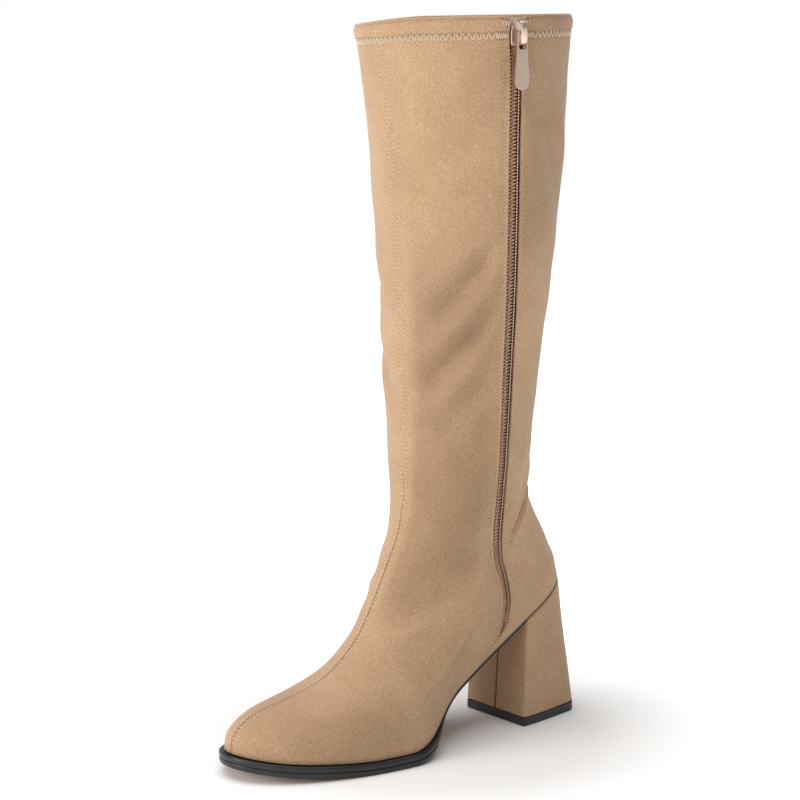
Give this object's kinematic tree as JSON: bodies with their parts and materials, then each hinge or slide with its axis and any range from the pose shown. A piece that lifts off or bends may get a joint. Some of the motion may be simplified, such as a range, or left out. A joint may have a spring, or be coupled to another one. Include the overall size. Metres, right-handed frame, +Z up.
{
  "type": "knee-high boot",
  "caption": "Knee-high right boot with a block heel: tan suede-look upper, long zip on the inner side with a hanging pull tab, black layered sole edge.",
  "frame": {"origin": "on the floor under the heel's top piece, on its long middle line, 18.3 mm in front of the upper's back edge", "axes": "+X forward to the toe, +Y to the inner side of this right boot (the wearer's left), +Z up the shaft"},
  "size_m": [0.2459, 0.1308, 0.4149],
  "materials": {
    "suede": "matt napped suede look",
    "insole_cloth": "matt cloth",
    "sole_rubber": "smooth, half gloss edge",
    "heel_suede": "matt napped suede look",
    "top_piece_rubber": "satin",
    "zip_tape": "woven tape with a coil",
    "zip_metal": "polished rose-gold plating"
  },
  "bodies": {
    "boot": {"upper": "suede", "insole": "insole_cloth", "outsole": "sole_rubber", "heel_block": "heel_suede", "heel_top_piece": "top_piece_rubber", "zip_stringer_front": "zip_tape", "zip_stringer_back": "zip_tape", "zip_slider": "zip_metal"},
    "tab": {"pull_tab": "zip_metal"}
  },
  "joints": [
    {"name": "tab_swing", "type": "hinge", "parent": "boot", "child": "tab", "pos_m": [0.06347, 0.06535, 0.40399], "axis": [0.9789, -0.2043, 0], "range_deg": [-8, 160]}
  ]
}
